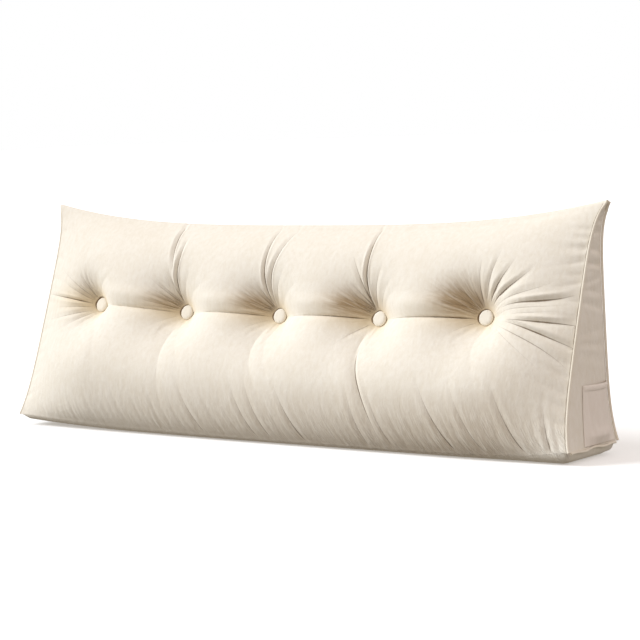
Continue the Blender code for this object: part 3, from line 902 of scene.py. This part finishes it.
def settle_front():
    columns, rows = SETTLE_CELLS[0] + 1, SETTLE_CELLS[1] + 1
    share, up = np.meshgrid(np.linspace(0, 1, columns), np.linspace(0, 1, rows))
    x, up = share.ravel() * LENGTH - HALF, up.ravel()
    panel, start, key = cloth_panel(x, up)
    moved = run_cloth(panel, key) - start
    bpy.data.objects.remove(panel, do_unlink=True)
    length = np.linalg.norm(moved, axis=1)
    print("cloth moved by", round(length.mean() / MM, 1), "mm on average")
    moved *= SETTLE_SHARE * np.minimum(1, SETTLE_CAP / np.maximum(length, 1e-9))[:, None]
    return moved.reshape(rows, columns, 3)


def settled_move(moves, x, up):
    """The grid's move at each point, read between the four grid points round it."""
    rows, columns = moves.shape[0] - 1, moves.shape[1] - 1
    across, high = np.clip((x + HALF) / LENGTH, 0, 1) * columns, np.clip(up, 0, 1) * rows
    left, low = np.minimum(across.astype(int), columns - 1), np.minimum(high.astype(int), rows - 1)
    across, high = (across - left)[:, None], (high - low)[:, None]
    below = mix(moves[low, left], moves[low, left + 1], across)
    above = mix(moves[low + 1, left], moves[low + 1, left + 1], across)
    return mix(below, above, high)


# %% [markdown]
# ## What the velvet has to know
#
# Shade is painted into the cover's colour: darker in the pits round the buttons and along the
# bottom of the front, and warm where light bounces between two folds; the finest pleats run in
# rays round each button. Where that happens is worked out for each point of the mesh and kept
# with it, so the material needs no picture of the pillow.

# %% Painted shade in the pits and low down, painted warm light and the finest pleats
PIT_SHADE_COLUMNS = ("button", "across", "above", "wide", "high", "strength")
# Painted shade: a dark patch above and to the left of each button, where its pit lies in shade
PIT_SHADES = (      # millimetres from the button
    (0, -20, 8, 24, 18, 0.22), (1, -40, 16, 44, 22, 0.68), (2, -50, 24, 46, 30, 0.85),
    (3, -54, 26, 52, 32, 0.95), (4, -46, 34, 56, 38, 1.0),
)
PIT_SHADE_LEAN = 0.22
LOW_PAINTED_SHADE = 0.55      # painted shade along the bottom of the front, more so to the right
LOW_BAND = 0.24         # up to this share of the front's height
LOW_RIGHT, LOW_RIGHT_FADE = 0.70, 0.12     # it stops short of the pocket end
WARM_LEFT = 105.0
WARM_RIGHT = 26.0
WARM_HIGH = 34.0
PLEAT_TURNS = 7.5       # rays per radian
PLEAT_LENGTH = 90.0
PLEAT_REACH = (90, 90, 90, 90, 120)        # mm from each button
PLEAT_FROM, PLEAT_SWELL, PLEAT_FULL = 20, 12, 30
FAN_COLUMNS = ("middle", "half", "soft", "strength")       # directions in degrees, as for creases
FAN, WIDE_FAN = (138, 22, 16, 1.0), (35, 75, 18, 0.3)      # the wide one only at the last button
FAN_CUT = 105           # the rays' noise is cut open in this direction below the button
BUTTON_STEP = 9.0       # from button to button the noise is read this far apart
LOW_PLEAT_COLUMNS = ("lean", "lean_up_to", "apart", "long", "under", "fade_over", "strength")
LOW_PLEATS = dict(zip(LOW_PLEAT_COLUMNS, (46, 80, 5.5, 45, 95, 90, 0.8)))
LOW_PLEAT_NOISE = 80.0  # where their noise is read


# Painted shade: how far the colour is darkened, in each pit and along the bottom of the front
def painted_shade_map(x, up):
    total = np.zeros_like(x)
    lean = PIT_SHADE_LEAN * pit_lean((up - ROW_LEVEL) * RISE)
    for row in rows_of(PIT_SHADE_COLUMNS, PIT_SHADES):
        across = ((x - BUTTON_X[row["button"]] + lean) / MM - row["across"]) / row["wide"]
        above = ((up - ROW_LEVEL) * SLANT / MM - row["above"]) / row["high"]
        total = np.maximum(total, row["strength"] * np.exp(-(across ** 2 + above ** 2)))
    right = np.clip(0.45 + x / LENGTH, 0, 1) * np.clip((LOW_RIGHT - x) / LOW_RIGHT_FADE, 0, 1)
    low = np.clip((LOW_BAND - up) / LOW_BAND, 0, 1) ** 0.8
    return np.clip(total + LOW_PAINTED_SHADE * right * low, 0, 1)


def warm_glow(x, up):
    """Strength of the warm tint: in the row, and more on the plain-end side of each button."""
    total = np.zeros_like(x)
    height = (up - ROW_LEVEL) * SLANT / MM
    for button_x in BUTTON_X:
        across = (x - button_x) / MM
        spread = np.where(across < 0, WARM_LEFT, WARM_RIGHT)
        total = np.maximum(total, np.exp(-(across / spread) ** 2 - (height / WARM_HIGH) ** 2))
    return total


def fan_share(turn, values):
    row = dict(zip(FAN_COLUMNS, values))
    outside = np.maximum(0, np.abs(turn - row["middle"]) - row["half"])
    return row["strength"] * np.exp(-(outside / row["soft"]) ** 2)


def button_pleats(x, up):
    """Polar places round the nearest button, stretched so that noise on them runs in rays."""
    nearest = np.clip(np.round((x - BUTTON_X[0]) / BUTTON_PITCH), 0, 4).astype(int)
    across = x - np.array(BUTTON_X)[nearest]
    height = (up - ROW_LEVEL) * SLANT
    away = np.hypot(across, height) / MM
    turn = np.mod(np.degrees(np.arctan2(height, across)) + FAN_CUT, 360) - FAN_CUT
    rays = np.radians(turn) * PLEAT_TURNS
    fan = np.stack((rays, away / PLEAT_LENGTH, nearest * BUTTON_STEP), axis=-1)
    strength = np.maximum(fan_share(turn, FAN), fan_share(turn, WIDE_FAN) * (nearest == 4))
    strength *= np.clip((away - PLEAT_FROM) / PLEAT_SWELL, 0, 1)
    return fan, strength * np.clip(1 - (away - PLEAT_FULL) / np.array(PLEAT_REACH)[nearest], 0, 1)


def low_pleats(x, height):
    """Leaning places along the bottom seam, for gathers too fine for the mesh."""
    row = LOW_PLEATS
    leant = x / MM + row["lean"] * np.clip(height / row["lean_up_to"], 0, 1) ** GATHER_BOW
    noise = np.full_like(x, LOW_PLEAT_NOISE)
    fan = np.stack((leant / row["apart"], height / row["long"], noise), axis=-1)
    fuller = np.clip(0.5 + x / LENGTH, 0.1, 1)
    return fan, np.clip(1 - height / row["fade_over"], 0, 1) * fuller * row["strength"]


def pleat_fan(x, up):
    height = up * SLANT / MM
    low, low_strength = low_pleats(x, height)
    fan, strength = button_pleats(x, up)
    band = height < LOW_PLEATS["under"]
    return np.where(band[:, None], low, fan), np.where(band, low_strength, strength)


# %% [markdown]
# ## Cutting the skin
#
# A cube is subdivided into a fine lattice. The lattice lines are closer together at the button
# row and near the bottom seam, where the creases are, and the back panel, which is smooth, is
# thinned again by dissolving three lines of every four.

# %% Lattice
CELLS_LONG = 540
CELLS_HIGH = 150
CELLS_DEEP = 8
BACK_STEP = 4          # the back keeps one lattice line in this many


# where lattice lines crowd: how much, round which share of the side, and how widely
CROWD_LONG = [(1.6, (x + HALF - 0.02) / LENGTH, 0.050 / LENGTH) for x in BUTTON_X]
CROWD_HIGH = ((1.8, ROW_LEVEL - 0.008, 0.022), (0.8, ROW_LEVEL + 0.05, 0.13), (0.6, 0.0, 0.16))
CROWD_DEEP = ((2.0, 0.0, 0.1), (2.0, 1.0, 0.1))
CROWD_STEPS = 4000


def crowd(share, peaks):
    """Places for evenly spaced shares, closer together round the peaks."""
    fine = np.linspace(0, 1, CROWD_STEPS + 1)
    middle = fine[:-1] + 0.5 / CROWD_STEPS
    wanted = 1 + sum(much * np.exp(-((middle - peak) / wide) ** 2) for much, peak, wide in peaks)
    total = np.concatenate(((0,), np.cumsum(wanted)))
    return np.interp(share, total / total[-1], fine)


def slice_cube(bm, axis, cells):
    edges = [edge for edge in bm.edges if abs((edge.verts[1].co - edge.verts[0].co)[axis]) > 1e-6]
    bmesh.ops.subdivide_edges(bm, edges=edges, cuts=cells - 1, use_grid_fill=True)


def thin_back(bm):
    """Keep one lattice line in BACK_STEP on the back panel."""
    surplus = []
    for edge in bm.edges:
        first, second = edge.verts
        if first.co.y < 0.4999 or second.co.y < 0.4999:
            continue
        axis, cells = (0, CELLS_LONG) if abs(first.co.x - second.co.x) < 1e-5 else (2, CELLS_HIGH)
        line = round((first.co[axis] + 0.5) * cells)
        if line % BACK_STEP and 0 < line < cells:
            surplus.append(edge)
    bmesh.ops.dissolve_edges(bm, edges=surplus, use_verts=True)


def make_lattice():
    bm = bmesh.new()
    bmesh.ops.create_cube(bm, size=1)
    for axis, cells in ((0, CELLS_LONG), (2, CELLS_HIGH), (1, CELLS_DEEP)):
        slice_cube(bm, axis, cells)
    thin_back(bm)
    return to_mesh(bm, "cover")


def block_shares(mesh):
    """X, depth share and height share of each lattice point, crowded where the folds are."""
    block = np.clip(mesh_places(mesh) + 0.5, 0, 1)
    block[np.abs(block) < 1e-5] = 0
    block[np.abs(block - 1) < 1e-5] = 1
    x = crowd(block[:, 0], CROWD_LONG) * LENGTH - HALF
    return x, crowd(block[:, 1], CROWD_DEEP), crowd(block[:, 2], CROWD_HIGH)


cover_mesh = make_lattice()
print("lattice points:", len(cover_mesh.vertices))

# %% [markdown]
# ## Filling the skin
#
# Each point starts on the flat wedge and moves outwards with its panel: the front by its rolls,
# pits and creases, the back and the ends by a gentle crown, the base by its rolled edge. The
# upper edge keeps the notches of the creases that run out over it.

# %% Fill the skin
END_WRINKLE_COLUMNS = ("height", "slope", "depth", "width")
END_WRINKLES = (
    (0.464, 0.10, 2.0, 5), (0.440, -0.05, 2.4, 6), (0.402, -0.22, 4.0, 7), (0.374, -0.14, 4.6, 6),
    (0.352, 0.16, 2.4, 6), (0.318, -0.20, 3.0, 9), (0.286, -0.30, 3.6, 8), (0.248, 0.04, 1.8, 10),
    (0.214, -0.16, 2.4, 9), (0.180, -0.30, 1.6, 11),
)
WRINKLE_STEEP = 0.6    # width of a wrinkle's lower side, as a share of its upper side
CREST_SHARE = 0.6      # how far the creases that run over the upper edge also lower it


def end_wrinkles(y, z):
    """Soft creases across an end panel, high up where the wedge is narrow."""
    front = front_plane_y(z)
    share = np.clip((y - front) / (DEPTH / 2 - front), 0, 1)
    total = np.zeros_like(y)
    for row in rows_of(END_WRINKLE_COLUMNS, END_WRINKLES):
        aside = z - row["height"] - row["slope"] * (y - DEPTH / 2)
        above = row["width"] * MM
        total -= row["depth"] * MM * crease_profile(aside, above, above * WRINKLE_STEEP)
    return total * arch(share, 3, 0.8)


def fill_cover(mesh):
    x, back, up = block_shares(mesh)
    place = flat_place(x, back, up)
    inner = (up > 0) & (up < 1)
    front = np.flatnonzero((back == 0) & inner)
    place[front] += FRONT_NORMAL * front_rise(x[front], up[front])[:, None]
    place[front] += settled_move(settle_front(), x[front], up[front])
    rear = np.flatnonzero((back == 1) & inner)
    place[rear, 1] += back_crown(x[rear], up[rear])
    base = up == 0
    place[base, 2] = base_lift(x[base], back[base])
    crest = np.flatnonzero(up == 1)
    thickness = DEPTH / 2 - front_plane_y(top_height(x[crest]))
    notch = front_rise(x[crest], up[crest])
    place[crest] += FRONT_NORMAL * (notch * (1 - back[crest]) ** 2)[:, None]
    place[crest, 2] += (TOP_CROWN * thickness + CREST_SHARE * notch) * arch(back[crest], 2, 1)
    ends = np.flatnonzero(np.abs(x) > HALF - 1e-6)
    y, z = place[ends, 1], place[ends, 2]
    bulge = end_crown(y, z) + end_wrinkles(y, z) * inner[ends]
    place[ends, 0] += np.sign(x[ends]) * bulge
    set_places(mesh, place)
    return x, back, up


# %% A dressed piece
def add_piece(name, data, material, node):
    """Make a piece of the dressed pillow; it stands for one node of the solids."""
    piece = link(name, data)
    data.materials.append(material)
    if isinstance(data, bpy.types.Mesh):
        data.shade_smooth()
    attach(piece, "root")
    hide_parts(node)
    return piece


def store(mesh, name, kind, values):
    """Keep one value, or one vector, for each point of the mesh, for the material to read."""
    field = "vector" if kind == "FLOAT_VECTOR" else "value"
    layer = mesh.attributes.new(name, kind, "POINT")
    layer.data.foreach_set(field, values.astype(np.float32).ravel())


# %% Lines of painted shade that the material draws
NO_LINE = 8.0                 # mm; further from a crease than this, nothing is drawn
SEAM_LINE = 3.6               # mm from the right end seam to the line of painted shade in the groove beside its piping
SEAM_LINE_REACH = 0.012
SEAM_LINE_STRENGTH = 0.45
GATHER_LINE_OVER = 2.8        # gathers deeper than this (mm) have a crisp bottom too
GATHER_LINE_SHARE = 0.7
RING_OUT = 0.6                # the shaded gap round a button lies this far (mm) outside its rim
RING_SIDE = (-0.87, 0.5)      # across and up, towards the side that the button's thickness hides
RING_HIDDEN = 3.6             # on that side it lies further out
RING_PALE, RING_DARK = 0.35, 0.55     # strength all round, and more on that side


def crease_lines(x, up):
    """Distance to the strongest line of painted shade near each point, and the strength of that line.
    """
    lines = {"weight": np.zeros_like(x), "aside": np.full_like(x, NO_LINE)}
    button_creases(x, up, lines)
    gap = np.clip(((x - BUTTON_X[0]) // BUTTON_PITCH).astype(int), 0, 3)
    faded = row_strength(x, least=0.10, power=1.2, end=0.93) * np.array(CREASE_BETWEEN)[gap]
    every = np.arange(len(x))
    keep_line(lines, every, (up - row_level(x)) * SLANT / MM, faded)
    by_seam = HALF - x < SEAM_LINE_REACH
    keep_line(lines, every, (HALF - x) / MM - SEAM_LINE, SEAM_LINE_STRENGTH * by_seam)
    low = np.flatnonzero(up * SLANT < GATHERS_UNDER)
    for row in rows_of(GATHER_COLUMNS, BOTTOM_GATHERS):
        if row["depth"] > GATHER_LINE_OVER:
            aside, strength = gather_line(x[low], up[low], row)
            keep_line(lines, low, aside, GATHER_LINE_SHARE * strength * row["depth"] / LINE_FULL)
    for button_x in BUTTON_X:
        across, height = (x - button_x) / MM, (up - ROW_LEVEL) * SLANT / MM
        away = np.hypot(across, height)
        hidden = across * RING_SIDE[0] + height * RING_SIDE[1]
        hidden = np.maximum(0, hidden / np.maximum(away, 1e-6))
        ring = away - BUTTON_RADIUS / MM - RING_OUT - RING_HIDDEN * hidden
        keep_line(lines, every, ring, (RING_PALE + RING_DARK * hidden) * (np.abs(ring) < NO_LINE))
    aside = np.clip(lines["aside"], -NO_LINE, NO_LINE)
    return np.stack((aside, lines["weight"], np.zeros_like(x)), axis=-1)


# %% Dress the cover
x, back, up = fill_cover(cover_mesh)
on_front = (back < 0.02) & (up < 1)
fan, fan_strength = pleat_fan(x, up)
# Painted shade and painted warm light, kept on the mesh for the material
store(cover_mesh, "crushed", "FLOAT", painted_shade_map(x, up) * on_front)
store(cover_mesh, "warm", "FLOAT", warm_glow(x, up) * on_front)
store(cover_mesh, "crease_line", "FLOAT_VECTOR", crease_lines(x, up) * on_front[:, None])
store(cover_mesh, "fan", "FLOAT_VECTOR", fan)
store(cover_mesh, "fan_strength", "FLOAT", fan_strength * on_front)
cover = add_piece("cushion_cover", cover_mesh, COVER_VELVET, "cushion")
cover_mesh.set_sharp_from_angle(angle=math.radians(70))
print("cover triangles:", sum(len(face.vertices) - 2 for face in cover_mesh.polygons))

# %% [markdown]
# ## Covered buttons
#
# A covered button is a shallow metal dome with velvet stretched over it and tucked in behind.
# Its half section is drawn once and spun about the button's axis. The cloth is never quite
# even, so a few small puckers are pressed into the rim.

# %% Buttons
PUCKERS, WIDE_PUCKERS = 22, 9
PUCKER_DEPTH = 0.00028
PUCKER_FROM = 0.5      # share of the radius where they begin
RIM = BUTTON_THICK * 0.42
RIM_STEPS = 12
DOME_SHARES = (0.66, 0.54, 0.42, 0.30, 0.18, 0.08, 0.0)
DOME_FALL = 0.10       # the dome is this share lower at the rim
SPIN_STEPS = 96


def button_section():
    """Half section of a button, distance from the axis and height: back, rim, shallow dome."""
    core = BUTTON_RADIUS - RIM
    points = [(0, 0), (BUTTON_RADIUS * 0.4, 0), (core, 0)]
    for step in range(1, RIM_STEPS):
        turn = math.pi * step / RIM_STEPS - math.pi / 2
        points.append((core + RIM * math.cos(turn), RIM + RIM * math.sin(turn)))
    for share in DOME_SHARES:
        points.append((BUTTON_RADIUS * share, BUTTON_THICK * (1 - DOME_FALL * share ** 2)))
    return points


def pucker(vert, number):
    """Draw the cloth in a little, unevenly round the rim."""
    away = math.hypot(vert.co.x, vert.co.y) / BUTTON_RADIUS
    if away <= PUCKER_FROM or vert.co.z <= 0.001:
        return
    turn = math.atan2(vert.co.y, vert.co.x)
    ripple = math.sin(turn * PUCKERS + number) * 0.6 + math.sin(turn * WIDE_PUCKERS + number * 2) * 0.4
    inward = PUCKER_DEPTH * ripple * min(1, (away - PUCKER_FROM) * 3)
    vert.co.x -= inward * math.cos(turn)
    vert.co.y -= inward * math.sin(turn)
    vert.co.z = min(vert.co.z - inward, BUTTON_THICK)


def make_button(number, x):
    bm = bmesh.new()
    verts = [bm.verts.new((out, 0, high)) for out, high in button_section()]
    edges = [bm.edges.new(pair) for pair in zip(verts, verts[1:])]
    bmesh.ops.spin(bm, geom=verts + edges, cent=(0, 0, 0), axis=(0, 0, 1), angle=2 * math.pi,
                   steps=SPIN_STEPS, use_merge=True)
    bmesh.ops.remove_doubles(bm, verts=bm.verts, dist=1e-6)
    bmesh.ops.recalc_face_normals(bm, faces=bm.faces)
    for vert in bm.verts:
        pucker(vert, number)
    seat = one_place(x, 0.0, ROW_LEVEL) + FRONT_NORMAL * (SEAT_LEVEL + GAP)
    turn = Vector(FRONT_NORMAL).to_track_quat("Z", "Y").to_matrix().to_4x4()
    bmesh.ops.transform(bm, matrix=Matrix.Translation(Vector(seat)) @ turn, verts=bm.verts)
    name = f"covered_button_{number}"
    return add_piece(name, to_mesh(bm, name), BUTTON_VELVET, f"button_{number}")


buttons = [make_button(index + 1, x) for index, x in enumerate(BUTTON_X)]
print("button across:", round(max(buttons[0].dimensions) * 1000, 1), "mm")

# %% [markdown]
# ## Piping round the ends
#
# Piping is a thin cord inside a folded strip of the same cloth, caught in the seam. It could be
# modelled as a ridge of the cover, but as its own tube along the seam it keeps a crisp, round
# edge. A curve with a round bevel follows the same seam points as the solid.

# %% Piping
PIPING_RADIUS = 0.0026
LEFT_LIE = -0.8        # at the plain end the cord has rolled over towards the end panel
PIPING_OFFSET = 0.0030
PIPING_STEPS = 120
CORNER_SETBACK = 0.007
BASE_WAVE = 0.0022     # the base piping ripples by this much
BASE_RIPPLES = 13
EAR_MEET = 0.28        # at an ear the two upright pipings draw together by this share of the fold
EAR_FROM = 0.965       # share of the seam's height where they start to


def seam_place(side, seam, share):
    """A point of the piping: on an end seam, and standing off it to its own side."""
    setback = CORNER_SETBACK / DEPTH
    tip = EAR_MEET * max(0, (share - EAR_FROM) / (1 - EAR_FROM))
    back, up, away = {
        "front": (tip, share, FRONT_NORMAL),
        "back": (1 - tip, share, np.array((0, 1, 0))),
        "base": (mix(setback, 1 - setback, share), 0.0, np.array((0, 0, -1))),
    }[seam]
    spot = one_place(side * HALF, back, up)
    if seam == "base":
        spot[2] = base_lift(np.array((HALF,)), np.array((back,)))[0]
        spot[2] += BASE_WAVE * math.sin(share * BASE_RIPPLES + side) * math.sin(math.pi * share)
    away = away * (1 if side > 0 else LEFT_LIE) + np.array((side, 0, 0))
    spot[0] += side * end_crown(spot[1], spot[2])
    return spot + away / np.linalg.norm(away) * PIPING_OFFSET


def make_piping(side, seam):
    node = f"piping_{'right' if side > 0 else 'left'}_{seam}"
    curve = bpy.data.curves.new(node + "_cord", "CURVE")
    curve.dimensions = "3D"
    curve.bevel_depth = PIPING_RADIUS
    curve.bevel_resolution = 4
    curve.use_fill_caps = True
    points = [seam_place(side, seam, step / PIPING_STEPS) for step in range(PIPING_STEPS + 1)]
    spline = curve.splines.new("POLY")
    spline.points.add(PIPING_STEPS)
    for place, point in zip(spline.points, points):
        place.co = (*point, 1)
    return add_piece(curve.name, curve, PIPING_VELVET, node)


pipings = [make_piping(side, seam) for side in (-1, 1) for seam in ("front", "base", "back")]
print("pipings:", len(pipings))

# %% [markdown]
# ## The side pocket
#
# A single layer of velvet, hemmed at the top and sewn to the end panel at both sides and along
# the bottom. It is cut a little wider than its place, so it stands off the panel and falls in
# soft upright folds. The sheet is a fine grid laid over the panel's curve; Solidify gives it
# its thickness, and the hem is a half-round band along the mouth.

# %% Pocket
POCKET_FRONT_LOW = -0.030
POCKET_FRONT_HIGH = -0.010
POCKET_BACK_MARGIN = 0.007
POCKET_BOTTOM = SEAM_LIFT + 0.003
POCKET_MOUTH = 0.147
POCKET_OPEN = 0.015
POCKET_CLOTH = 0.0010
POCKET_SEAT = 0.0004
HEM_HEIGHT = 0.011
HEM_THICK = 0.0026
POCKET_FOLD_COLUMNS = ("across", "lean", "depth", "width")
POCKET_FOLDS = (
    (0.27, -0.20, 3.4, 6), (0.42, -0.10, -1.8, 8), (0.60, -0.14, 2.0, 8), (0.84, 0.04, 2.4, 6),
)
POCKET_SAG = 0.0030    # the spare cloth rests in a soft roll just above the bottom seam
SAG_LEVEL, SAG_SPREAD = 0.17, 0.09
POCKET_CELLS = 72


def pocket_stand(across, up):
    """How far the pocket's cloth stands off the end panel."""
    rise = np.minimum(1, up / 0.15) ** 0.5 * mix(0.6, 1, up)
    loose = np.sin(np.pi * across)       # nothing at the two sewn sides
    stand = POCKET_SEAT + POCKET_OPEN * loose ** mix(1.2, 0.8, up) * rise
    stand += POCKET_SAG * np.exp(-((up - SAG_LEVEL) / SAG_SPREAD) ** 2) * loose
    width = DEPTH / 2 - POCKET_BACK_MARGIN - POCKET_FRONT_LOW
    fade = loose ** 0.5 * np.minimum(1, up * 4) * mix(1.0, 0.35, up)
    for row in rows_of(POCKET_FOLD_COLUMNS, POCKET_FOLDS):
        aside = (across - row["across"] - row["lean"] * up) * width / MM
        stand -= row["depth"] * MM * np.exp(-(aside / row["width"]) ** 2) * fade
    in_hem = np.clip((up - 1) * (POCKET_MOUTH - POCKET_BOTTOM) / HEM_HEIGHT + 1, 0, 1)
    hem = np.sqrt(np.maximum(0, 1 - (2 * in_hem - 1) ** 2)) * (in_hem > 0)
    return np.maximum(stand, POCKET_SEAT * 0.8) + hem * HEM_THICK * np.clip(loose * 4, 0, 1)


def make_pocket():
    bm = bmesh.new()
    bmesh.ops.create_grid(bm, x_segments=POCKET_CELLS, y_segments=POCKET_CELLS, size=0.5)
    mesh = to_mesh(bm, "side_pocket")
    across, up, _ = np.clip(mesh_places(mesh) + 0.5, 0, 1).T
    y = mix(mix(POCKET_FRONT_LOW, POCKET_FRONT_HIGH, up), DEPTH / 2 - POCKET_BACK_MARGIN, across)
    z = mix(POCKET_BOTTOM, POCKET_MOUTH, up)
    set_places(mesh, np.stack((end_surface(y, z) + pocket_stand(across, up), y, z), axis=-1))
    pocket = add_piece("side_pocket", mesh, POCKET_VELVET, "pocket")
    cloth = pocket.modifiers.new("cloth", "SOLIDIFY")
    cloth.thickness = POCKET_CLOTH
    cloth.offset = 1
    return pocket


pocket = make_pocket()
